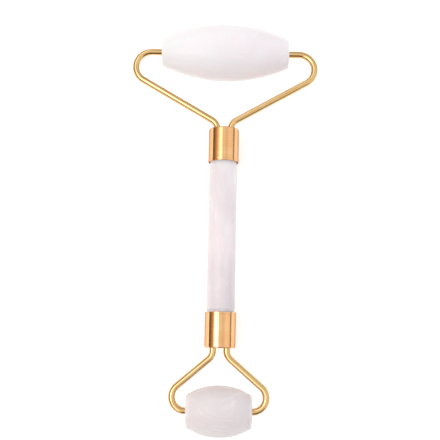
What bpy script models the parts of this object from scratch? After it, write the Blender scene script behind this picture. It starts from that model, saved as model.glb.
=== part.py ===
"""Stone face roller: a stone rod handle with a bent-wire yoke and a free-turning stone roller at each end.

Constants are in millimetres and degrees, and MM turns them into Blender's metres.
The frame: +Y runs along the handle towards the large roller, +X along the rollers' axles, and +Z is up.
The origin is under the middle of the object, on the surface that the large roller touches.
"""

import math

import bmesh
import bpy
from mathutils import Matrix

MM = 0.001

# Driving dimensions.
OVERALL_LENGTH = 146.6
LARGE_DIAMETER = 20.3
LARGE_LENGTH = 46.0
LARGE_END_DIAMETER = 10.1
SMALL_DIAMETER = 17.4
SMALL_LENGTH = 22.5
SMALL_END_DIAMETER = 10.2
ROD_DIAMETER = 10.0
WIRE_DIAMETER = 2.3
FERRULE_DIAMETER = 10.9
FERRULE_LENGTH = 12.2
UPPER_FERRULE_FACE = 34.3
LOWER_FERRULE_FACE = 43.2
LEG_SPACING = 4.85

# The two yokes: their widths to the wire's centreline, lobe radii, and the slopes of their diagonals.
UPPER_YOKE_WIDTH = 65.2
UPPER_LOBE_RADIUS = 5.7
UPPER_SLOPE = 30.0
LOWER_YOKE_WIDTH = 32.4
LOWER_LOBE_RADIUS = 4.7
LOWER_SLOPE = 40.4
LEG_BEND_RADIUS = 4.0

# How deep the wire's ends go: pins into the rollers, and legs through the ferrule's end wall.
LARGE_PIN_DEPTH = 7.0
SMALL_PIN_DEPTH = 5.5
LEG_DEPTH = 3.6

# Walls, fits and edges.
FERRULE_WALL = 0.35
FERRULE_END_WALL = 0.9
FERRULE_EDGE = 0.3
FERRULE_LIP_DEPTH = 0.07
FERRULE_LIP_LENGTH = 0.8
FIT_GAP = 0.3
WIRE_HOLE_RADIUS = 1.3
SPIGOT_LENGTH = 6.5
NECK_RADIUS = 4.8
NECK_LENGTH = 0.7
NECK_SHOULDER = 0.8
BUSH_BORE_RADIUS = 1.21
BUSH_SLEEVE_RADIUS = 1.95
BUSH_FLANGE_RADIUS = 2.65
BUSH_FLANGE_THICKNESS = 0.5
BUSH_LENGTH = 6.2
ROLLER_EDGE = 0.35
SMALL_EDGE = 1.3
LARGE_LAND = 2.8
SMALL_LAND = 2.2

# How finely the round shapes are divided.
ROLLER_SEGMENTS = 48
ROD_SEGMENTS = 40
BUSH_SEGMENTS = 24
HOLE_SEGMENTS = 20
LARGE_PROFILE_STEPS = 8
SMALL_PROFILE_STEPS = 6
EDGE_STEPS = 3
SHOULDER_STEPS = 4
LOBE_STEPS = 16
LEG_BEND_STEPS = 8
WIRE_BEVEL_RESOLUTION = 4
MERGE_DISTANCE = 0.0005
SMOOTH_ANGLE = 35.0

# Derived places. Distances out from the middle, along the handle, are positive at both ends.
AXIS_HEIGHT = LARGE_DIAMETER / 2
LARGE_AXLE = OVERALL_LENGTH / 2 - LARGE_DIAMETER / 2
SMALL_AXLE = OVERALL_LENGTH / 2 - SMALL_DIAMETER / 2
WIRE_RADIUS = WIRE_DIAMETER / 2
FERRULE_RADIUS = FERRULE_DIAMETER / 2
FERRULE_BORE_RADIUS = FERRULE_RADIUS - FERRULE_WALL
SPIGOT_RADIUS = FERRULE_BORE_RADIUS - FIT_GAP
COUNTERBORE_RADIUS = BUSH_FLANGE_RADIUS + FIT_GAP
COUNTERBORE_DEPTH = BUSH_FLANGE_THICKNESS + FIT_GAP
ROLLER_BORE_RADIUS = BUSH_SLEEVE_RADIUS + FIT_GAP

# Base colours, linear.
STONE_COLOUR = (0.86, 0.77, 0.80)
ROLLER_COLOUR = (0.90, 0.86, 0.90)
GOLD_COLOUR = (0.89, 0.60, 0.27)
BUSH_COLOUR = (0.86, 0.84, 0.80)
EPOXY_COLOUR = (0.62, 0.50, 0.30)

# A turned shape's own axis is its local Z. These lay it along +X or +Y.
ALONG_X = (0.0, math.radians(90), 0.0)
ALONG_Y = (math.radians(-90), 0.0, 0.0)


def clear_scene():
    for thing in list(bpy.data.objects):
        bpy.data.objects.remove(thing)


def make_material(name, colour, roughness, metallic=0.0):
    material = bpy.data.materials.new(name)
    material.use_nodes = True
    shader = material.node_tree.nodes["Principled BSDF"]
    shader.inputs["Base Color"].default_value = (*colour, 1.0)
    shader.inputs["Roughness"].default_value = roughness
    shader.inputs["Metallic"].default_value = metallic
    material.diffuse_color = (*colour, 1.0)
    return material


def stone_material(name, colour):
    return make_material(name, colour, roughness=0.18)


def gold_material(name):
    return make_material(name, GOLD_COLOUR, roughness=0.12, metallic=1.0)


def bush_material(name):
    return make_material(name, BUSH_COLOUR, roughness=0.45)


def epoxy_material(name):
    return make_material(name, EPOXY_COLOUR, roughness=0.3)


def link(name, data, material):
    """Makes one named object from mesh or curve data."""
    thing = bpy.data.objects.new(name, data)
    bpy.context.scene.collection.objects.link(thing)
    data.materials.append(material)
    return thing


def place(thing, position, rotation=(0.0, 0.0, 0.0), parent=None):
    """Puts thing at a position in millimetres, in its parent's space."""
    thing.location = [value * MM for value in position]
    thing.rotation_euler = rotation
    thing.parent = parent
    return thing


def make_empty(name, position):
    empty = bpy.data.objects.new(name, None)
    bpy.context.scene.collection.objects.link(empty)
    return place(empty, position)


def turned(name, profile, segments, material):
    """Spins a closed outline of (radius, height) points in millimetres about local Z into one solid."""
    mesh = bpy.data.meshes.new(name)
    bm = bmesh.new()
    corners = [bm.verts.new((radius * MM, 0.0, height * MM)) for radius, height in profile]
    edges = []
    for index, corner in enumerate(corners):
        following = corners[(index + 1) % len(corners)]
        edges.append(bm.edges.new((corner, following)))
    bmesh.ops.spin(
        bm,
        geom=corners + edges,
        cent=(0.0, 0.0, 0.0),
        axis=(0.0, 0.0, 1.0),
        angle=math.tau,
        steps=segments,
        use_merge=True,
    )
    bmesh.ops.remove_doubles(bm, verts=bm.verts, dist=MERGE_DISTANCE * MM)
    bmesh.ops.dissolve_degenerate(bm, dist=MERGE_DISTANCE * MM, edges=bm.edges)
    bmesh.ops.recalc_face_normals(bm, faces=bm.faces)
    bm.to_mesh(mesh)
    bm.free()
    mesh.shade_smooth()
    mesh.set_sharp_from_angle(angle=math.radians(SMOOTH_ANGLE))
    return link(name, mesh, material)


def arc(centre, radius, start, end, steps):
    """Points in a plane along an arc, from one angle in degrees to another."""
    points = []
    for step in range(steps + 1):
        angle = math.radians(start + (end - start) * step / steps)
        across = centre[0] + radius * math.cos(angle)
        along = centre[1] + radius * math.sin(angle)
        points.append((across, along))
    return points


def bush_seat(half_length):
    """The inner outline of a roller, from its -Z mouth to its +Z mouth: counterbore, bore, counterbore."""
    floor = half_length - COUNTERBORE_DEPTH
    return [
        (COUNTERBORE_RADIUS, -half_length),
        (COUNTERBORE_RADIUS, -floor),
        (ROLLER_BORE_RADIUS, -floor),
        (ROLLER_BORE_RADIUS, floor),
        (COUNTERBORE_RADIUS, floor),
        (COUNTERBORE_RADIUS, half_length),
    ]


def rounded_end(side_end, edge):
    """The quarter-round edge from the last point of a roller's side up to its flat end face."""
    radius, height = side_end
    return arc((radius - edge, height), edge, 0.0, 90.0, EDGE_STEPS)


def barrel_side():
    """The large roller's side: an arc from each end to a narrow cylindrical land round the belly."""
    arc_length = (LARGE_LENGTH - LARGE_LAND) / 2
    belly = LARGE_DIAMETER / 2
    rise = belly - LARGE_END_DIAMETER / 2
    side_radius = (arc_length**2 + rise**2) / (2 * rise)
    reach = math.degrees(math.asin((arc_length - ROLLER_EDGE) / side_radius))
    half_side = arc((belly - side_radius, LARGE_LAND / 2), side_radius, reach, 0.0, LARGE_PROFILE_STEPS)
    return both_halves(half_side)


def drum_side():
    """The small roller's side: a stretch of an ellipse from each end to a land round the belly."""
    arc_length = (SMALL_LENGTH - SMALL_LAND) / 2
    belly = SMALL_DIAMETER / 2
    long_axis = arc_length / math.sqrt(1 - (SMALL_END_DIAMETER / SMALL_DIAMETER) ** 2)
    reach = math.asin((arc_length - SMALL_EDGE) / long_axis)
    half_side = []
    for step in range(SMALL_PROFILE_STEPS + 1):
        angle = reach * (1 - step / SMALL_PROFILE_STEPS)
        half_side.append((belly * math.cos(angle), SMALL_LAND / 2 + long_axis * math.sin(angle)))
    return both_halves(half_side)


def both_halves(half_side):
    """A roller's whole side from its +Z half."""
    return half_side + [(radius, -height) for radius, height in reversed(half_side)]


def make_roller(name, side, length, edge, axle):
    """A bored stone roller whose side is turned from the outline, its local Z along the axle."""
    half_length = length / 2
    upper_edge = rounded_end(side[0], edge)
    lower_edge = [(radius, -height) for radius, height in upper_edge]
    outer = list(reversed(upper_edge)) + side[1:-1] + lower_edge
    roller = turned(
        name, bush_seat(half_length) + outer, ROLLER_SEGMENTS, stone_material(name, ROLLER_COLOUR)
    )
    return place(roller, (0.0, 0.0, 0.0), ALONG_X, axle)


def make_bush(name, half_length, side, axle):
    """A flanged sleeve in a roller's end. Its local Z points out of the roller."""
    profile = [
        (BUSH_BORE_RADIUS, 0.0),
        (BUSH_FLANGE_RADIUS, 0.0),
        (BUSH_FLANGE_RADIUS, -BUSH_FLANGE_THICKNESS),
        (BUSH_SLEEVE_RADIUS, -BUSH_FLANGE_THICKNESS),
        (BUSH_SLEEVE_RADIUS, -BUSH_LENGTH),
        (BUSH_BORE_RADIUS, -BUSH_LENGTH),
    ]
    bush = turned(name, profile, BUSH_SEGMENTS, bush_material(name))
    return place(bush, (side * half_length, 0.0, 0.0), (0.0, side * ALONG_X[1], 0.0), axle)


def make_roller_group(prefix, outline, length, edge, axle_y):
    """A roller and its two bushes on an empty that sits on their axle."""
    axle = make_empty(prefix + "_axle", (0.0, axle_y, AXIS_HEIGHT))
    make_roller(prefix, outline, length, edge, axle)
    for side, word in ((-1, "left"), (1, "right")):
        make_bush(f"{prefix}_bush_{word}", length / 2, side, axle)


def rod_end(mouth):
    """One end of the rod from its tip inwards, as (radius, height): spigot, neck and a rounded shoulder."""
    rod_radius = ROD_DIAMETER / 2
    neck_end = mouth - NECK_LENGTH
    outline = [
        (0.0, mouth + SPIGOT_LENGTH),
        (SPIGOT_RADIUS, mouth + SPIGOT_LENGTH),
        (SPIGOT_RADIUS, mouth),
        (NECK_RADIUS, mouth - FIT_GAP),
        (NECK_RADIUS, neck_end),
    ]
    for step in range(1, SHOULDER_STEPS + 1):
        share = step / SHOULDER_STEPS
        rise = math.sin(share * math.pi / 2)
        outline.append((NECK_RADIUS + (rod_radius - NECK_RADIUS) * rise, neck_end - NECK_SHOULDER * share))
    return outline


def make_handle():
    """The stone rod: full diameter between the ferrules, and a spigot inside each of them."""
    upper_end = rod_end(UPPER_FERRULE_FACE - FERRULE_LENGTH)
    lower_end = rod_end(LOWER_FERRULE_FACE - FERRULE_LENGTH)
    profile = upper_end + [(radius, -height) for radius, height in reversed(lower_end)]
    handle = turned("stone_handle", profile, ROD_SEGMENTS, stone_material("stone_handle", STONE_COLOUR))
    return place(handle, (0.0, 0.0, AXIS_HEIGHT), ALONG_Y)


def add_leg_holes(target, radius, depth):
    """Cuts the two wire legs' holes into target, down to a depth below its local zero."""
    for side, word in ((-1, "left"), (1, "right")):
        add_cutter(target, f"{target.name}_hole_{word}", radius, depth, side * LEG_SPACING / 2)


def add_cutter(target, name, radius, depth, across):
    """Cuts a round hole along target's local Z, at a distance across, to a depth on both sides of zero."""
    mesh = bpy.data.meshes.new(name)
    bm = bmesh.new()
    bmesh.ops.create_cone(
        bm,
        cap_ends=True,
        segments=HOLE_SEGMENTS,
        radius1=radius * MM,
        radius2=radius * MM,
        depth=2 * depth * MM,
        matrix=Matrix.Translation((across * MM, 0.0, 0.0)),
    )
    bm.to_mesh(mesh)
    bm.free()
    cutter = bpy.data.objects.new(name, mesh)
    bpy.context.scene.collection.objects.link(cutter)
    cutter.parent = target
    cutter.hide_render = True
    cutter.display_type = "WIRE"
    cut = target.modifiers.new(name, "BOOLEAN")
    cut.object = cutter
    cut.operation = "DIFFERENCE"
    cut.solver = "EXACT"


def make_ferrule(name, face, direction):
    """A drawn cup: local Z points out of its closed end, whose face is at local zero."""
    mouth = -FERRULE_LENGTH
    profile = arc(
        (FERRULE_RADIUS - FERRULE_EDGE, -FERRULE_EDGE), FERRULE_EDGE, 90.0, 0.0, EDGE_STEPS
    )
    profile += [
        (FERRULE_RADIUS, mouth + FERRULE_LIP_LENGTH),
        (FERRULE_RADIUS - FERRULE_LIP_DEPTH, mouth),
        (FERRULE_BORE_RADIUS, mouth),
        (FERRULE_BORE_RADIUS, -FERRULE_END_WALL),
        (0.0, -FERRULE_END_WALL),
        (0.0, 0.0),
    ]
    ferrule = turned(name, profile, ROD_SEGMENTS, gold_material(name))
    rotation = (math.radians(-90) * direction, 0.0, 0.0)
    place(ferrule, (0.0, direction * face, AXIS_HEIGHT), rotation)
    add_leg_holes(ferrule, WIRE_HOLE_RADIUS, 2 * FERRULE_END_WALL)


def make_potting(name, face, direction):
    """The epoxy between the rod's end and the ferrule's closed end, with a blind hole for each wire leg."""
    top = -FERRULE_END_WALL - FIT_GAP
    bottom = SPIGOT_LENGTH - FERRULE_LENGTH + FIT_GAP
    profile = [(0.0, top), (SPIGOT_RADIUS, top), (SPIGOT_RADIUS, bottom), (0.0, bottom)]
    potting = turned(name, profile, ROD_SEGMENTS, epoxy_material(name))
    rotation = (math.radians(-90) * direction, 0.0, 0.0)
    place(potting, (0.0, direction * face, AXIS_HEIGHT), rotation)
    add_leg_holes(potting, WIRE_RADIUS + FIT_GAP, FERRULE_END_WALL + LEG_DEPTH + FIT_GAP)


def wire_path(axle, lobe_radius, width, slope, face, pin_end):
    """The wire's centreline for the +X side, as (across, out) points: pin, lobe, diagonal, bend and leg."""
    lobe_centre = (width / 2 - lobe_radius, axle - lobe_radius)
    path = [(pin_end, axle)]
    path += arc(lobe_centre, lobe_radius, 90.0, slope - 90.0, LOBE_STEPS)
    leg_x = LEG_SPACING / 2
    turn = 90.0 - slope
    corner = path[-1][1] - (path[-1][0] - leg_x) * math.tan(math.radians(slope))
    bend_start = corner - LEG_BEND_RADIUS * math.tan(math.radians(turn) / 2)
    bend_centre = (leg_x + LEG_BEND_RADIUS, bend_start)
    path += arc(bend_centre, LEG_BEND_RADIUS, 180.0 - turn, 180.0, LEG_BEND_STEPS)
    path.append((leg_x, face - FERRULE_END_WALL - LEG_DEPTH))
    return path


def make_wire(name, path, side, direction):
    """A round wire along the path, on one side of the handle and at one end of it."""
    curve = bpy.data.curves.new(name, "CURVE")
    curve.dimensions = "3D"
    curve.bevel_depth = WIRE_RADIUS * MM
    curve.bevel_resolution = WIRE_BEVEL_RESOLUTION
    curve.use_fill_caps = True
    spline = curve.splines.new("POLY")
    spline.points.add(len(path) - 1)
    spline.use_smooth = True
    for point, (across, out) in zip(spline.points, path):
        point.co = (side * across * MM, direction * out * MM, 0.0, 1.0)
    wire = link(name, curve, gold_material(name))
    return place(wire, (0.0, 0.0, AXIS_HEIGHT))


def make_yoke(prefix, path, direction):
    for side, word in ((-1, "left"), (1, "right")):
        make_wire(f"{prefix}_wire_{word}", path, side, direction)


def make_head(prefix, path, face, direction):
    """What sits on one end of the handle: ferrule, potting and the two wires."""
    make_ferrule(f"{prefix}_ferrule", face, direction)
    make_potting(f"{prefix}_potting", face, direction)
    make_yoke(prefix, path, direction)


def main():
    clear_scene()
    make_handle()
    upper_path = wire_path(
        LARGE_AXLE,
        UPPER_LOBE_RADIUS,
        UPPER_YOKE_WIDTH,
        UPPER_SLOPE,
        UPPER_FERRULE_FACE,
        LARGE_LENGTH / 2 - LARGE_PIN_DEPTH,
    )
    lower_path = wire_path(
        SMALL_AXLE,
        LOWER_LOBE_RADIUS,
        LOWER_YOKE_WIDTH,
        LOWER_SLOPE,
        LOWER_FERRULE_FACE,
        SMALL_LENGTH / 2 - SMALL_PIN_DEPTH,
    )
    make_head("upper", upper_path, UPPER_FERRULE_FACE, 1)
    make_head("lower", lower_path, LOWER_FERRULE_FACE, -1)
    make_roller_group("large_roller", barrel_side(), LARGE_LENGTH, ROLLER_EDGE, LARGE_AXLE)
    make_roller_group("small_roller", drum_side(), SMALL_LENGTH, SMALL_EDGE, -SMALL_AXLE)


main()
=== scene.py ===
"""Looks for the stone face roller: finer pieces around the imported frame, their materials and a studio.

Lengths are in metres. In the frame, +Y runs along the handle to the large roller, +X along the axles,
and +Z is up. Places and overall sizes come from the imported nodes' boxes. Radii, slopes and fits that a
box can't give are named below.
"""

import math

import bmesh
import bpy
from mathutils import Matrix, Vector


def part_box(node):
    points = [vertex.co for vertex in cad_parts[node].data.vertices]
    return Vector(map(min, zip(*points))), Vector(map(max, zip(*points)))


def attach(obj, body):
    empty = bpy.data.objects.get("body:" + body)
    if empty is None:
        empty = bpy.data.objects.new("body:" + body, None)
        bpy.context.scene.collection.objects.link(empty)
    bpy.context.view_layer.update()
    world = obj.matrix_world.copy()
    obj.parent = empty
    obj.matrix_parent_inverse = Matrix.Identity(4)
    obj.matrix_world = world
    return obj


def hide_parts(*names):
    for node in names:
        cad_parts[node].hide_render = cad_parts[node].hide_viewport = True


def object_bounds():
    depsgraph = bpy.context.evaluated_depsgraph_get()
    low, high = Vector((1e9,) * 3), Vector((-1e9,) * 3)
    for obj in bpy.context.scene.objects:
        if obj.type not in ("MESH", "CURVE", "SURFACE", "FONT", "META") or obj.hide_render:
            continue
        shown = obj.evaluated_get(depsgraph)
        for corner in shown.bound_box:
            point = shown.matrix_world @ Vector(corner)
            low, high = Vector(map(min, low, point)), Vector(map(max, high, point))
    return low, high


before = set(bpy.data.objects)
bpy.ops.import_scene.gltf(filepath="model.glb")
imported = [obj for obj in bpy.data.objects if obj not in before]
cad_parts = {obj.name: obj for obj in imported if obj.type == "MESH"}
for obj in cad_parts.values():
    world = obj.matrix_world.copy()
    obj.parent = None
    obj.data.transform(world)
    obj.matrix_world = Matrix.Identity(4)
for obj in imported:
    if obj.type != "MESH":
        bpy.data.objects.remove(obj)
CAD_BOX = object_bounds()

MM = 0.001

# The rollers: the diameter of their ends, and their rounded edges.
LARGE_END_DIAMETER = 10.1 * MM
LARGE_EDGE = 0.35 * MM
SMALL_END_DIAMETER = 10.2 * MM
SMALL_EDGE = 1.3 * MM
BORE_EDGE = 0.25 * MM

# The bushes in the rollers' ends.
BUSH_BORE_RADIUS = 1.21 * MM
BUSH_SLEEVE_RADIUS = 1.95 * MM
BUSH_FLANGE_THICKNESS = 0.5 * MM
BUSH_EDGE = 0.12 * MM
BUSH_SEAT_GAP = 0.08 * MM

# The yokes' wires. A slope is a diagonal's angle to the axle, in degrees.
WIRE_RADIUS = 1.15 * MM
UPPER_LOBE_RADIUS = 5.7 * MM
UPPER_SLOPE = 30.0
LOWER_LOBE_RADIUS = 4.7 * MM
LOWER_SLOPE = 40.4
LEG_SPACING = 4.85 * MM
LEG_BEND_RADIUS = 4.0 * MM

# A wire's rounded ends: the rings' angles in radians, and the dome's height as a share of the radius.
DOME_ANGLES = (0.35, 0.7, 1.05, 1.35)
DOME_SHARE = 0.5

# A wire's points that lie this near the axle belong to its pin and its lobe's top.
PIN_REACH = 1.1 * WIRE_RADIUS

# The ferrules. The lip stands proud of the cup's body by its depth, behind a groove half as deep.
CUP_WALL = 0.35 * MM
CUP_END_WALL = 0.9 * MM
CUP_EDGE = 0.42 * MM
LIP_DEPTH = 0.06 * MM
LIP_LENGTH = 0.75 * MM
LIP_EDGE = 0.08 * MM
GROOVE_DEPTH = 0.5 * LIP_DEPTH
LEG_HOLE_GAP = 0.06 * MM
LEG_HOLE_DIMPLE = 0.12 * MM

# The rod's ends.
NECK_DEPTH = 0.2 * MM
NECK_LENGTH = 0.7 * MM
SHOULDER_LENGTH = 0.8 * MM
SPIGOT_LENGTH = 6.5 * MM
SPIGOT_GAP = 0.3 * MM

# An extra ring this far past a rounded edge keeps the shading of a straight wall straight.
WALL_MARGIN = 0.1 * MM

# How finely the round shapes are divided.
ROLLER_SEGMENTS = 192
ROD_SEGMENTS = 128
CUP_SEGMENTS = 144
BUSH_SEGMENTS = 64
WIRE_SEGMENTS = 32
SIDE_STEPS = 72
EDGE_STEPS = 6
CUP_EDGE_STEPS = 12
SHOULDER_STEPS = 18
LOBE_STEPS = 56
BEND_STEPS = 24
SMOOTH_ANGLE = 35.0

# A turned shape's own axis is its local Z. These lay it along +X or +Y.
ALONG_X = Matrix.Rotation(math.radians(90), 4, "Y")
ALONG_Y = Matrix.Rotation(math.radians(-90), 4, "X")

# The record's bodies.
HANDLE_BODY = "handle_and_yokes"
LARGE_BODY = "large_roller_and_bushes"
SMALL_BODY = "small_roller_and_bushes"


# ---------------------------------------------------------------- shapes


def size_of(node):
    low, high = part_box(node)
    return high - low


def centre_of(node):
    low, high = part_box(node)
    return (low + high) / 2


def arc(centre, radius, start, end, steps):
    """Points in a plane along an arc, from one angle in degrees to another."""
    points = []
    for step in range(steps + 1):
        angle = math.radians(start + (end - start) * step / steps)
        points.append((centre[0] + radius * math.cos(angle), centre[1] + radius * math.sin(angle)))
    return points


def shade_smooth(mesh):
    """Smooth shading that leaves sharp edges sharp."""
    mesh.shade_smooth()
    mesh.set_sharp_from_angle(angle=math.radians(SMOOTH_ANGLE))


def finish_mesh(name, bm, material, matrix):
    """Turns bm into a smooth-shaded object placed by matrix."""
    bmesh.ops.recalc_face_normals(bm, faces=bm.faces)
    mesh = bpy.data.meshes.new(name)
    bm.to_mesh(mesh)
    bm.free()
    shade_smooth(mesh)
    mesh.materials.append(material)
    piece = bpy.data.objects.new(name, mesh)
    bpy.context.scene.collection.objects.link(piece)
    piece.matrix_world = matrix
    return piece


def join_rings(bm, first, second, segments):
    """Faces between two rings of a round shape, either of which may be a single point on its axis."""
    for index in range(segments):
        after = (index + 1) % segments
        corners = []
        for ring, order in ((first, (index, after)), (second, (after, index))):
            if len(ring) == 1:
                corners.append(ring[0])
            else:
                corners += [ring[order[0]], ring[order[1]]]
        bm.faces.new(corners)


def turned(name, outline, segments, material, matrix):
    """Spins a closed outline of (radius, height) points about local Z into one solid."""
    bm = bmesh.new()
    rings = []
    for radius, height in outline:
        if radius == 0.0:
            rings.append([bm.verts.new((0.0, 0.0, height))])
            continue
        ring = []
        for index in range(segments):
            angle = math.tau * index / segments
            ring.append(bm.verts.new((radius * math.cos(angle), radius * math.sin(angle), height)))
        rings.append(ring)
    for index, ring in enumerate(rings):
        following = rings[(index + 1) % len(rings)]
        if len(ring) == 1 and len(following) == 1:
            continue
        join_rings(bm, ring, following, segments)
    return finish_mesh(name, bm, material, matrix)


def swept(name, path, radius, material, height):
    """A round wire along a path of (x, y) points at one height, with rounded ends."""
    bm = bmesh.new()
    stations = [(point, radius) for point in path]
    first_way = (Vector(path[0]) - Vector(path[1])).normalized()
    last_way = (Vector(path[-1]) - Vector(path[-2])).normalized()
    for angle in DOME_ANGLES:
        along = math.sin(angle)
        across = radius * math.cos(angle)
        stations.insert(0, (Vector(path[0]) + first_way * along * radius * DOME_SHARE, across))
        stations.append((Vector(path[-1]) + last_way * along * radius * DOME_SHARE, across))
    up = Vector((0.0, 0.0, 1.0))
    rings = []
    for index, (point, ring_radius) in enumerate(stations):
        before = Vector(stations[max(index - 1, 0)][0])
        after = Vector(stations[min(index + 1, len(stations) - 1)][0])
        way = (after - before).normalized()
        side = Vector((-way.y, way.x, 0.0))
        ring = []
        for step in range(WIRE_SEGMENTS):
            angle = math.tau * step / WIRE_SEGMENTS
            offset = side * math.cos(angle) + up * math.sin(angle)
            ring.append(bm.verts.new(Vector((point[0], point[1], height)) + offset * ring_radius))
        rings.append(ring)
    for first, second in zip(rings, rings[1:]):
        join_rings(bm, first, second, WIRE_SEGMENTS)
    bm.faces.new(rings[0])
    bm.faces.new(rings[-1])
    return finish_mesh(name, bm, material, Matrix.Identity(4))


def give(piece, body, node):
    """Hangs the piece on the body that moves it, and hides the node that it stands for."""
    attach(piece, body)
    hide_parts(node)


# ---------------------------------------------------------------- rollers and bushes


def barrel_side(half_length, belly, end_radius, edge):
    """One arc through the belly and both ends."""
    rise = belly - end_radius
    side_radius = (half_length**2 + rise**2) / (2 * rise)
    reach = math.degrees(math.asin((half_length - edge) / side_radius))
    return arc((belly - side_radius, 0.0), side_radius, reach, -reach, SIDE_STEPS)


def drum_side(half_length, belly, end_radius, edge):
    """The middle stretch of an ellipse."""
    long_axis = half_length / math.sqrt(1 - (end_radius / belly) ** 2)
    reach = math.asin((half_length - edge) / long_axis)
    points = []
    for step in range(SIDE_STEPS + 1):
        angle = reach * (1 - 2 * step / SIDE_STEPS)
        points.append((belly * math.cos(angle), long_axis * math.sin(angle)))
    return points


def roller_outline(side, half_length, edge, flange_radius):
    """The closed outline of a bored roller: bore, counterbores with a softened mouth, ends and side."""
    seat_radius = flange_radius + BUSH_SEAT_GAP
    seat_floor = half_length - BUSH_FLANGE_THICKNESS - BUSH_SEAT_GAP
    bore_radius = BUSH_SLEEVE_RADIUS + BUSH_SEAT_GAP
    top = [(bore_radius, seat_floor), (seat_radius, seat_floor)]
    mouth = (seat_radius + BORE_EDGE, half_length - BORE_EDGE)
    top += arc(mouth, BORE_EDGE, 180.0, 90.0, EDGE_STEPS)
    corner = (side[0][0] - edge, half_length - edge)
    top += arc(corner, edge, 90.0, 0.0, EDGE_STEPS)[:-1]
    bottom = [(radius, -height) for radius, height in reversed(top)]
    return top + side + bottom


def make_roller(node, side_shape, end_diameter, edge, body, material):
    """A smooth stone roller in place of a faceted one."""
    size = size_of(node)
    half_length = size.x / 2
    side = side_shape(half_length, size.z / 2, end_diameter / 2, edge)
    flange_radius = size_of(node + "_bush_left").z / 2
    outline = roller_outline(side, half_length, edge, flange_radius)
    matrix = Matrix.Translation(centre_of(node)) @ ALONG_X
    piece = turned(node + "_stone", outline, ROLLER_SEGMENTS, material, matrix)
    give(piece, body, node)


def make_bush(node, side, body, material):
    """A flanged sleeve in a roller's end, its flange outwards. side is +1 for the right end."""
    low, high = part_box(node)
    flange_radius = (high.z - low.z) / 2
    length = high.x - low.x
    outline = arc((BUSH_BORE_RADIUS + BUSH_EDGE, -BUSH_EDGE), BUSH_EDGE, 180.0, 90.0, EDGE_STEPS)
    outline += arc((flange_radius - BUSH_EDGE, -BUSH_EDGE), BUSH_EDGE, 90.0, 0.0, EDGE_STEPS)
    outline += [
        (flange_radius, -BUSH_FLANGE_THICKNESS),
        (BUSH_SLEEVE_RADIUS, -BUSH_FLANGE_THICKNESS),
        (BUSH_SLEEVE_RADIUS, -length),
        (BUSH_BORE_RADIUS, -length),
    ]
    centre = centre_of(node)
    outer_face = high.x if side > 0 else low.x
    turn = Matrix.Rotation(math.radians(90 * side), 4, "Y")
    matrix = Matrix.Translation((outer_face, centre.y, centre.z)) @ turn
    piece = turned(node + "_sleeve", outline, BUSH_SEGMENTS, material, matrix)
    give(piece, body, node)


# ---------------------------------------------------------------- rod, cups and wires


def rod_end(mouth, rod_radius):
    """One end of the rod from its tip inwards, as (radius, height): spigot, neck and a rounded shoulder.

    mouth is how far from the frame's middle the ferrule's mouth lies.
    """
    neck_radius = rod_radius - NECK_DEPTH
    neck_end = mouth - NECK_LENGTH
    spigot_radius = size_of("upper_ferrule").z / 2 - CUP_WALL - SPIGOT_GAP
    outline = [
        (0.0, mouth + SPIGOT_LENGTH),
        (spigot_radius, mouth + SPIGOT_LENGTH),
        (spigot_radius, mouth),
        (neck_radius, mouth - SPIGOT_GAP),
        (neck_radius, neck_end),
    ]
    for step in range(1, SHOULDER_STEPS + 1):
        share = step / SHOULDER_STEPS
        rise = math.sin(share * math.pi / 2)
        outline.append((neck_radius + NECK_DEPTH * rise, neck_end - SHOULDER_LENGTH * share))
    outline.append((rod_radius, neck_end - SHOULDER_LENGTH - WALL_MARGIN))
    return outline


def make_rod(material):
    """The stone rod between the ferrules, with a spigot inside each of them."""
    upper_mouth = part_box("upper_ferrule")[0].y
    lower_mouth = -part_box("lower_ferrule")[1].y
    rod_radius = size_of("stone_handle").z / 2
    upper_end = rod_end(upper_mouth, rod_radius)
    lower_end = rod_end(lower_mouth, rod_radius)
    outline = upper_end + [(radius, -height) for radius, height in reversed(lower_end)]
    centre = centre_of("stone_handle")
    matrix = Matrix.Translation((centre.x, 0.0, centre.z)) @ ALONG_Y
    piece = turned("stone_rod", outline, ROD_SEGMENTS, material, matrix)
    give(piece, HANDLE_BODY, "stone_handle")


def cup_outline(radius, length):
    """A deep cup, closed at local zero and open downwards, with a slightly stepped lip at its mouth."""
    bore = radius - CUP_WALL
    body_radius = radius - LIP_DEPTH
    groove_radius = body_radius - GROOVE_DEPTH
    groove_height = -length + LIP_LENGTH
    lip_top = groove_height - LIP_DEPTH
    outline = [(0.0, 0.0)]
    outline += arc((body_radius - CUP_EDGE, -CUP_EDGE), CUP_EDGE, 90.0, 0.0, CUP_EDGE_STEPS)
    outline += [
        (body_radius, -CUP_EDGE - WALL_MARGIN),
        (body_radius, groove_height + LIP_DEPTH + WALL_MARGIN),
        (body_radius, groove_height + LIP_DEPTH),
        (groove_radius, groove_height),
        (groove_radius, lip_top),
    ]
    outline += arc((radius - LIP_EDGE, lip_top - LIP_EDGE), LIP_EDGE, 90.0, 0.0, EDGE_STEPS)
    outline += arc((radius - LIP_EDGE, -length + LIP_EDGE), LIP_EDGE, 0.0, -90.0, EDGE_STEPS)
    outline += [(bore, -length), (bore, -CUP_END_WALL), (0.0, -CUP_END_WALL)]
    return outline


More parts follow.
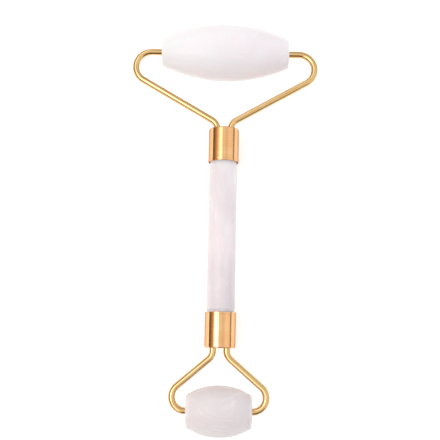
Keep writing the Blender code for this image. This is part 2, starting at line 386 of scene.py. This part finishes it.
def leg_cutter(node, side, matrix, material):
    """A turned plug that cuts one wire hole with a softened mouth."""
    hole = WIRE_RADIUS + LEG_HOLE_GAP
    mouth = hole + LEG_HOLE_DIMPLE
    above = CUP_END_WALL
    below = -2 * CUP_END_WALL
    outline = [(0.0, above), (mouth, above)]
    outline += arc((mouth, -LEG_HOLE_DIMPLE), LEG_HOLE_DIMPLE, 90.0, 180.0, EDGE_STEPS)
    outline += [(hole, below), (0.0, below)]
    shift = Matrix.Translation((side * LEG_SPACING / 2, 0.0, 0.0))
    name = f"{node}_hole_{'left' if side < 0 else 'right'}"
    return turned(name, outline, WIRE_SEGMENTS, material, matrix @ shift)


def keep_evaluated(piece):
    """Makes the modifiers' result the piece's own mesh."""
    depsgraph = bpy.context.evaluated_depsgraph_get()
    made = bpy.data.meshes.new_from_object(piece.evaluated_get(depsgraph))
    piece.modifiers.clear()
    piece.data = made
    shade_smooth(made)


def make_cup(node, sign, material):
    """A ferrule with its closed end outwards, pierced by the two wire legs. sign is +1 towards +Y."""
    low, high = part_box(node)
    radius = (high.z - low.z) / 2
    face = high.y if sign > 0 else low.y
    centre = centre_of(node)
    turn = ALONG_Y if sign > 0 else ALONG_Y @ Matrix.Rotation(math.pi, 4, "X")
    matrix = Matrix.Translation((centre.x, face, centre.z)) @ turn
    piece = turned(node + "_cup", cup_outline(radius, high.y - low.y), CUP_SEGMENTS, material, matrix)
    cutters = [leg_cutter(node, side, matrix, material) for side in (-1, 1)]
    for cutter in cutters:
        cut = piece.modifiers.new(cutter.name, "BOOLEAN")
        cut.object = cutter
        cut.operation = "DIFFERENCE"
        cut.solver = "EXACT"
    keep_evaluated(piece)
    for cutter in cutters:
        bpy.data.objects.remove(cutter)
    give(piece, HANDLE_BODY, node)


def pin_end_of(node, axle_y):
    """How far from the middle a wire's pin ends inside the roller."""
    points = [vertex.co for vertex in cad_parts[node].data.vertices]
    return min(abs(point.x) for point in points if abs(point.y - axle_y) < PIN_REACH)


def wire_path(axle, lobe_radius, width, slope, leg_end, pin_end):
    """Centreline of one wire as (across, out) points: pin, lobe, straight diagonal, bend and leg."""
    lobe_centre = (width / 2 - lobe_radius, axle - lobe_radius)
    path = [(pin_end, axle)]
    path += arc(lobe_centre, lobe_radius, 90.0, slope - 90.0, LOBE_STEPS)
    leg_x = LEG_SPACING / 2
    turn = 90.0 - slope
    corner = path[-1][1] - (path[-1][0] - leg_x) * math.tan(math.radians(slope))
    bend_start = corner - LEG_BEND_RADIUS * math.tan(math.radians(turn) / 2)
    bend_centre = (leg_x + LEG_BEND_RADIUS, bend_start)
    path += arc(bend_centre, LEG_BEND_RADIUS, 180.0 - turn, 180.0, BEND_STEPS)
    path.append((leg_x, leg_end))
    return path


def make_wire(end, sign, side, lobe_radius, slope, roller, material):
    """One yoke wire. end is upper or lower, sign is +1 towards +Y, side is +1 for the right wire."""
    node = f"{end}_wire_{'right' if side > 0 else 'left'}"
    low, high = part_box(node)
    axle_y = centre_of(roller).y
    reach = max(abs(low.x), abs(high.x))
    leg_end = min(sign * low.y, sign * high.y)
    width = 2 * (reach - WIRE_RADIUS)
    pin_end = pin_end_of(node, axle_y)
    path = wire_path(sign * axle_y, lobe_radius, width, slope, leg_end, pin_end)
    path = [(side * across, sign * out) for across, out in path]
    piece = swept(node + "_rod", path, WIRE_RADIUS, material, centre_of(node).z)
    give(piece, HANDLE_BODY, node)


# ---------------------------------------------------------------- node trees

# A colour mix node's sockets by number: its share and its two colours, and its result.
MIX_INPUTS = (0, 6, 7)
MIX_OUTPUT = 2


class Tree:
    """The nodes of a material or of the world, with short calls for the ones used here."""

    def __init__(self, owner):
        owner.use_nodes = True
        self.tree = owner.node_tree

    def add(self, kind, **settings):
        """A new node with the settings given."""
        node = self.tree.nodes.new(kind)
        for key, value in settings.items():
            setattr(node, key, value)
        return node

    def link(self, source, target):
        self.tree.links.new(source, target)

    def put(self, value, target):
        """Links a socket to target, or sets target to a number or an RGB colour."""
        if isinstance(value, bpy.types.NodeSocket):
            self.link(value, target)
        elif isinstance(value, tuple):
            target.default_value = (*value, 1.0)
        else:
            target.default_value = value

    def axes(self, vector):
        """A vector's X, Y and Z."""
        node = self.add("ShaderNodeSeparateXYZ")
        self.link(vector, node.inputs["Vector"])
        return node.outputs

    def math(self, operation, *values):
        """One operation on values, each a number or a socket."""
        node = self.add("ShaderNodeMath", operation=operation)
        for socket, value in zip(node.inputs, values):
            self.put(value, socket)
        return node.outputs["Value"]

    def ramp(self, value, stops):
        """A colour ramp of (position, colour) stops. A number stands for a grey."""
        node = self.add("ShaderNodeValToRGB")
        elements = node.color_ramp.elements
        while len(elements) < len(stops):
            elements.new(1.0)
        for element, (position, colour) in zip(elements, stops):
            element.position = position
            shade = (colour, colour, colour) if isinstance(colour, float) else colour
            element.color = (*shade, 1.0)
        self.link(value, node.inputs["Fac"])
        return node.outputs["Color"]

    def mix(self, share, first, second):
        """Mixes two colours by a share from 0 to 1."""
        node = self.add("ShaderNodeMix", data_type="RGBA")
        for index, value in zip(MIX_INPUTS, (share, first, second)):
            self.put(value, node.inputs[index])
        return node.outputs[MIX_OUTPUT]


class Surface(Tree):
    """A material's nodes."""

    def __init__(self, name):
        self.material = bpy.data.materials.new(name)
        super().__init__(self.material)
        self.shader = self.tree.nodes["Principled BSDF"]
        self.place = self.add("ShaderNodeTexCoord").outputs["Object"]

    def set(self, **values):
        """Sets the shader's own sockets. An underscore stands for a space in a socket's name."""
        for key, value in values.items():
            self.shader.inputs[key.replace("_", " ")].default_value = value

    def noise(self, scale, detail=4.0, roughness=0.55, distortion=0.0, stretch=None):
        """Noise in the object's own space, with scale as its cells per metre.

        stretch scales the space along each axis first, so a number below 1 draws the noise out.
        """
        node = self.add("ShaderNodeTexNoise")
        node.inputs["Scale"].default_value = scale
        node.inputs["Detail"].default_value = detail
        node.inputs["Roughness"].default_value = roughness
        node.inputs["Distortion"].default_value = distortion
        source = self.place
        if stretch:
            mapping = self.add("ShaderNodeMapping")
            mapping.inputs["Scale"].default_value = stretch
            self.link(self.place, mapping.inputs["Vector"])
            source = mapping.outputs["Vector"]
        self.link(source, node.inputs["Vector"])
        return node.outputs["Fac"]

    def drifted(self, value, drift):
        """Adds drift, a change per metre along local Z, to a value."""
        return self.math("MULTIPLY_ADD", self.axes(self.place)["Z"], drift, value)

    def paint(self, colour, value, smoothest, roughest):
        """Links the colour, and a roughness that follows a 0 to 1 value."""
        node = self.add("ShaderNodeMapRange")
        node.inputs["To Min"].default_value = smoothest
        node.inputs["To Max"].default_value = roughest
        self.link(value, node.inputs["Value"])
        self.link(colour, self.shader.inputs["Base Color"])
        self.link(node.outputs["Result"], self.shader.inputs["Roughness"])

    def bump(self, *layers):
        """Stacks bump layers of (height, depth in metres) and links the last one to the shader."""
        previous = None
        for height, depth in layers:
            node = self.add("ShaderNodeBump")
            node.inputs["Distance"].default_value = depth
            self.link(height, node.inputs["Height"])
            if previous:
                self.link(previous, node.inputs["Normal"])
            previous = node.outputs["Normal"]
        self.link(previous, self.shader.inputs["Normal"])


# ---------------------------------------------------------------- materials

# The stone's pale wisps, healed cracks and darker grain.
WISP_COLOUR = (0.95, 0.92, 0.94)
VEIN_COLOUR = (0.97, 0.95, 0.96)
GRAIN_COLOUR = (0.74, 0.62, 0.65)

# The gold's fine lines and worn specks.
LINE_COLOUR = (0.97, 0.72, 0.42)
WEAR_COLOUR = (0.55, 0.30, 0.12)

# The bushes' nylon and its speckle.
NYLON_DEEP = (0.80, 0.76, 0.70)
NYLON_PALE = (0.88, 0.86, 0.82)
NYLON_SPECK = (0.52, 0.43, 0.36)

# The epoxy and its bubbles.
EPOXY_DEEP = (0.56, 0.42, 0.22)
EPOXY_PALE = (0.68, 0.55, 0.34)
EPOXY_BUBBLE = (0.85, 0.78, 0.62)

# The floor's two greys, its gloss, and the glow that keeps it white.
FLOOR_GREYS = (0.955, 0.965)
FLOOR_GLOSS = 0.1
FLOOR_GLOW = 0.36


def stone(name, tint, cloud, stretch, drift):
    """Polished milky quartz: soft clouds over a tint, pale wisps, healed cracks and a fine grain.

    A positive drift adds cloud towards local +Z. The gloss is all in the coat.
    """
    surface = Surface(name)
    clouds = surface.noise(55.0, detail=3.0, distortion=0.6, stretch=stretch)
    wisps = surface.noise(140.0, detail=6.0, roughness=0.62, distortion=1.6, stretch=stretch)
    veins = surface.noise(70.0, detail=5.0, roughness=0.5, distortion=2.4, stretch=stretch)
    grain = surface.noise(2600.0, detail=2.0)
    polish = surface.noise(220.0, detail=4.0)
    cloud_share = surface.ramp(surface.drifted(clouds, drift), [(0.3, 0.0), (0.7, 1.0)])
    wisp_share = surface.ramp(wisps, [(0.5, 0.0), (0.7, 0.22)])
    vein_share = surface.ramp(veins, [(0.485, 0.0), (0.5, 0.2), (0.515, 0.0)])
    grain_share = surface.ramp(grain, [(0.3, 0.12), (0.42, 0.0)])
    body = surface.mix(cloud_share, tint, cloud)
    body = surface.mix(wisp_share, body, WISP_COLOUR)
    body = surface.mix(vein_share, body, VEIN_COLOUR)
    body = surface.mix(grain_share, body, GRAIN_COLOUR)
    surface.paint(body, polish, smoothest=0.07, roughest=0.18)
    surface.bump((clouds, 0.12 * MM), (grain, 0.0015 * MM))
    surface.set(
        Subsurface_Weight=0.85,
        Subsurface_Radius=(1.0, 0.72, 0.78),
        Subsurface_Scale=5.0 * MM,
        IOR=1.54,
        Specular_IOR_Level=0.0,
        Coat_Weight=0.32,
        Coat_Roughness=0.12,
    )
    return surface.material


def gold(name, deep, pale, rim, stretch):
    """Gold-plated metal between a deep and a pale tone, with faint lines and a little wear.

    rim tints what it mirrors at a grazing angle, and stretch draws the lines out.
    """
    surface = Surface(name)
    tone = surface.noise(160.0, detail=4.0, distortion=0.4)
    lines = surface.noise(900.0, detail=3.0, roughness=0.7, stretch=stretch)
    specks = surface.noise(3800.0, detail=2.0)
    line_share = surface.ramp(lines, [(0.52, 0.0), (0.8, 0.22)])
    speck_share = surface.ramp(specks, [(0.24, 0.3), (0.32, 0.0)])
    body = surface.ramp(tone, [(0.3, deep), (0.7, pale)])
    body = surface.mix(line_share, body, LINE_COLOUR)
    body = surface.mix(speck_share, body, WEAR_COLOUR)
    surface.paint(body, lines, smoothest=0.07, roughest=0.17)
    surface.bump((tone, 0.008 * MM), (lines, 0.002 * MM))
    surface.set(Metallic=1.0, Specular_Tint=(*rim, 1.0))
    return surface.material


def nylon(name):
    """Pale moulded plastic with a fine speckle."""
    surface = Surface(name)
    specks = surface.noise(2400.0, detail=3.0, roughness=0.7)
    tone = surface.noise(420.0, detail=3.0)
    speck_share = surface.ramp(specks, [(0.56, 0.0), (0.66, 0.5)])
    body = surface.ramp(tone, [(0.3, NYLON_DEEP), (0.7, NYLON_PALE)])
    body = surface.mix(speck_share, body, NYLON_SPECK)
    surface.paint(body, tone, smoothest=0.35, roughest=0.55)
    surface.bump((specks, 0.01 * MM))
    surface.set(Subsurface_Weight=0.2, Subsurface_Radius=(1.0, 0.9, 0.8), Subsurface_Scale=0.6 * MM)
    return surface.material


def epoxy(name):
    """Cured amber epoxy with small bubbles."""
    surface = Surface(name)
    bubbles = surface.noise(1800.0, detail=2.0)
    tone = surface.noise(260.0, detail=3.0)
    bubble_share = surface.ramp(bubbles, [(0.62, 0.0), (0.7, 0.6)])
    body = surface.ramp(tone, [(0.3, EPOXY_DEEP), (0.7, EPOXY_PALE)])
    body = surface.mix(bubble_share, body, EPOXY_BUBBLE)
    surface.paint(body, bubbles, smoothest=0.18, roughest=0.4)
    surface.bump((bubbles, 0.03 * MM))
    return surface.material


def floor_paint(name):
    """Matte white paper, hardly mottled."""
    surface = Surface(name)
    tone = surface.noise(14.0, detail=3.0)
    fibre = surface.noise(900.0, detail=4.0)
    body = surface.ramp(tone, [(0.3, FLOOR_GREYS[0]), (0.7, FLOOR_GREYS[1])])
    surface.paint(body, fibre, smoothest=0.75, roughest=0.95)
    surface.bump((fibre, 0.01 * MM))
    surface.set(
        Specular_IOR_Level=FLOOR_GLOSS,
        Emission_Color=(1.0, 1.0, 1.0, 1.0),
        Emission_Strength=FLOOR_GLOW,
    )
    return surface.material


# ---------------------------------------------------------------- studio

AXIS_HEIGHT = centre_of("large_roller").z
LENGTH = CAD_BOX[1].y - CAD_BOX[0].y

# The camera: a short telephoto above the tool, leaning a little towards its small end, rolled a little.
CAMERA_LENS = 60.0
CAMERA_SENSOR = 36.0
CAMERA_DISTANCE = 1.772 * LENGTH
CAMERA_ELEVATION = 81.47
CAMERA_ROLL = 1.15
CAMERA_TARGET = Vector((-0.0055 * LENGTH, 0.0095 * LENGTH, AXIS_HEIGHT))
CAMERA_CLIP = (0.1 * LENGTH, 100 * LENGTH)

FLOOR_HALF = 40 * LENGTH

# The key light: where it hangs from the object's middle, its size, and its brightness.
KEY_PLACE = (-2.05 * LENGTH, -0.42 * LENGTH, 3.4 * LENGTH)
KEY_SIZE = (2.0 * LENGTH, 1.65 * LENGTH)
KEY_BRIGHTNESS = 2.2

# The room: the white that the camera sees, the brightness that lights the object, and strips of light
# as (degrees from overhead towards +X, colour).
BACKDROP_WHITE = 1.1
ROOM_BRIGHTNESS = 1.82
ROOM_STRIPS = (
    (-88.0, (0.22, 0.19, 0.17)),
    (-74.0, (0.17, 0.13, 0.10)),
    (-65.0, (0.27, 0.18, 0.10)),
    (-54.0, (0.42, 0.31, 0.19)),
    (-38.0, 0.64),
    (-26.0, 1.3),
    (-17.0, 1.3),
    (-7.0, 0.52),
    (8.0, 0.56),
    (20.0, 0.46),
    (42.0, 0.60),
    (86.0, 0.55),
)

# The room's darker parts, each with the share of light that it keeps. A band is where one sets in, as a
# component of the unit direction: Z for the horizon, Y for the front and the back, and X for the front's
# left side, which stays light.
HORIZON_BAND = (0.06, 0.36)
HORIZON_SHADE = 0.25
FRONT_BAND = (-0.74, -0.42)
FRONT_LEFT_BAND = (-0.5, -0.1)
FRONT_SHADE = 0.09
BACK_BAND = (0.15, 0.8)
BACK_SHADE = 0.68


def make_camera():
    """The scene's camera, looking at its target from the -Y side."""
    data = bpy.data.cameras.new("camera")
    data.lens = CAMERA_LENS
    data.sensor_width = CAMERA_SENSOR
    data.clip_start, data.clip_end = CAMERA_CLIP
    camera = bpy.data.objects.new("camera", data)
    bpy.context.scene.collection.objects.link(camera)
    elevation = math.radians(CAMERA_ELEVATION)
    back = Vector((0.0, -math.cos(elevation), math.sin(elevation)))
    right = Vector((1.0, 0.0, 0.0))
    up = back.cross(right)
    roll = math.radians(CAMERA_ROLL)
    rolled_right = right * math.cos(roll) + up * math.sin(roll)
    rolled_up = up * math.cos(roll) - right * math.sin(roll)
    axes = Matrix((rolled_right, rolled_up, back)).transposed().to_4x4()
    camera.matrix_world = Matrix.Translation(CAMERA_TARGET + back * CAMERA_DISTANCE) @ axes
    bpy.context.scene.camera = camera


def make_floor():
    """A broad sheet, tilted to touch both rollers."""
    large = centre_of("large_roller")
    small = centre_of("small_roller")
    large_radius = size_of("large_roller").z / 2
    small_radius = size_of("small_roller").z / 2
    tilt = math.asin((large_radius - small_radius) / (large.y - small.y))
    up = Vector((0.0, math.sin(tilt), math.cos(tilt)))
    touch = large - up * large_radius
    bm = bmesh.new()
    corners = [(-1, -1), (1, -1), (1, 1), (-1, 1)]
    bm.faces.new([bm.verts.new((x * FLOOR_HALF, y * FLOOR_HALF, 0.0)) for x, y in corners])
    matrix = Matrix.Translation(touch) @ Matrix.Rotation(-tilt, 4, "X")
    floor = finish_mesh("floor", bm, floor_paint("floor_paper"), matrix)


def make_key_light():
    """One large soft box above, on the left, turned only about Y."""
    data = bpy.data.lights.new("key", "AREA")
    data.shape = "RECTANGLE"
    data.size, data.size_y = KEY_SIZE
    data.energy = KEY_BRIGHTNESS * math.pi * data.size * data.size_y
    light = bpy.data.objects.new("key", data)
    bpy.context.scene.collection.objects.link(light)
    light.location = Vector(KEY_PLACE) + Vector((0.0, 0.0, AXIS_HEIGHT))
    light.rotation_euler = (0.0, math.atan2(KEY_PLACE[0], KEY_PLACE[2]), 0.0)
    light.visible_camera = False


class Room(Tree):
    """The world's nodes."""

    def __init__(self):
        world = bpy.data.worlds.new("studio")
        bpy.context.scene.world = world
        super().__init__(world)
        self.background = self.tree.nodes["Background"]

    def ease(self, value, band, low, high):
        """Eases from low to high as value crosses the band."""
        node = self.add("ShaderNodeMapRange", interpolation_type="SMOOTHSTEP")
        names = ("From Min", "From Max", "To Min", "To Max")
        for name, number in zip(names, (*band, low, high)):
            node.inputs[name].default_value = number
        self.link(value, node.inputs["Value"])
        return node.outputs["Result"]

    def scale(self, colour, share):
        """A colour times a share."""
        node = self.add("ShaderNodeVectorMath", operation="SCALE")
        self.link(colour, node.inputs[0])
        self.link(share, node.inputs["Scale"])
        return node.outputs["Vector"]


def make_world():
    """A white room for the camera. Metal and stone see its strips of light and its darker parts."""
    room = Room()
    direction = room.add("ShaderNodeTexCoord").outputs["Generated"]
    across, along, up = room.axes(direction)

    # Half a turn, from -90 to 90 degrees, fills the ramp from 0 to 1.
    angle = room.math("ARCTAN2", across, up)
    share = room.math("MULTIPLY_ADD", angle, 1 / math.pi, 0.5)
    strips = room.ramp(share, [(degrees / 180.0 + 0.5, colour) for degrees, colour in ROOM_STRIPS])

    front = room.ease(along, FRONT_BAND, 1.0, 0.0)
    not_left = room.ease(across, FRONT_LEFT_BAND, 0.0, 1.0)
    dark = room.math("MULTIPLY", front, not_left)
    front_light = room.ease(dark, (0.0, 1.0), 1.0, FRONT_SHADE)
    back_light = room.ease(along, BACK_BAND, 1.0, BACK_SHADE)
    horizon_light = room.ease(up, HORIZON_BAND, HORIZON_SHADE, 1.0)
    ends_light = room.math("MULTIPLY", front_light, back_light)
    lighting = room.scale(strips, room.math("MULTIPLY", ends_light, horizon_light))

    seen = room.add("ShaderNodeLightPath").outputs["Is Camera Ray"]
    white = BACKDROP_WHITE / ROOM_BRIGHTNESS
    colour = room.mix(seen, lighting, (white, white, white))
    room.link(colour, room.background.inputs["Color"])
    room.background.inputs["Strength"].default_value = ROOM_BRIGHTNESS


# ---------------------------------------------------------------- assembly


def make_stones():
    """The stone of the rod and of each roller, each with its own tint and clouds, partly painted shade."""
    rod_stone = stone(
        "rod_quartz",
        tint=(0.71, 0.66, 0.69),
        cloud=(0.88, 0.835, 0.86),
        stretch=(1.0, 1.0, 0.45),
        # Painted shade: the clouds drift paler towards +Y, so the rod is darker towards the small roller.
        drift=6.0,
    )
    large_stone = stone(
        "large_quartz",
        tint=(0.86, 0.815, 0.85),
        cloud=(0.89, 0.88, 0.92),
        stretch=(1.0, 1.0, 0.6),
        drift=-6.0,
    )
    # Partly painted shade: a darker tint than the large roller's, as if the light fell off towards this
    # end.
    small_stone = stone(
        "small_quartz",
        tint=(0.70, 0.66, 0.68),
        cloud=(0.78, 0.735, 0.75),
        stretch=(1.0, 1.0, 0.6),
        drift=-3.0,
    )
    return rod_stone, large_stone, small_stone


def make_golds():
    """The ferrules' gold, its lines running round them, and the wires', its lines lying in their plane."""
    cup_gold = gold(
        "cup_gold",
        deep=(0.86, 0.45, 0.20),
        pale=(0.89, 0.53, 0.26),
        rim=(0.48, 0.34, 0.40),
        stretch=(0.03, 0.03, 1.0),
    )
    wire_gold = gold(
        "wire_gold",
        deep=(0.74, 0.46, 0.19),
        pale=(0.78, 0.54, 0.26),
        rim=(0.30, 0.24, 0.18),
        stretch=(0.4, 0.4, 1.0),
    )
    return cup_gold, wire_gold


def make_object():
    """Every piece that stands in for a node, and the plugs' material."""
    rod_stone, large_stone, small_stone = make_stones()
    cup_gold, wire_gold = make_golds()
    bush_nylon = nylon("bush_nylon")
    make_rod(rod_stone)
    for node, sign in (("upper_ferrule", 1), ("lower_ferrule", -1)):
        make_cup(node, sign, cup_gold)
    for side in (-1, 1):
        make_wire("upper", 1, side, UPPER_LOBE_RADIUS, UPPER_SLOPE, "large_roller", wire_gold)
        make_wire("lower", -1, side, LOWER_LOBE_RADIUS, LOWER_SLOPE, "small_roller", wire_gold)
    make_roller("large_roller", barrel_side, LARGE_END_DIAMETER, LARGE_EDGE, LARGE_BODY, large_stone)
    make_roller("small_roller", drum_side, SMALL_END_DIAMETER, SMALL_EDGE, SMALL_BODY, small_stone)
    for roller, body in (("large_roller", LARGE_BODY), ("small_roller", SMALL_BODY)):
        for side, word in ((-1, "left"), (1, "right")):
            make_bush(f"{roller}_bush_{word}", side, body, bush_nylon)
    plug_epoxy = epoxy("plug_epoxy")
    for node in ("upper_potting", "lower_potting"):
        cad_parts[node].material_slots[0].material = plug_epoxy


bpy.context.scene.view_settings.view_transform = "Standard"
make_object()
make_floor()
make_world()
make_key_light()
make_camera()
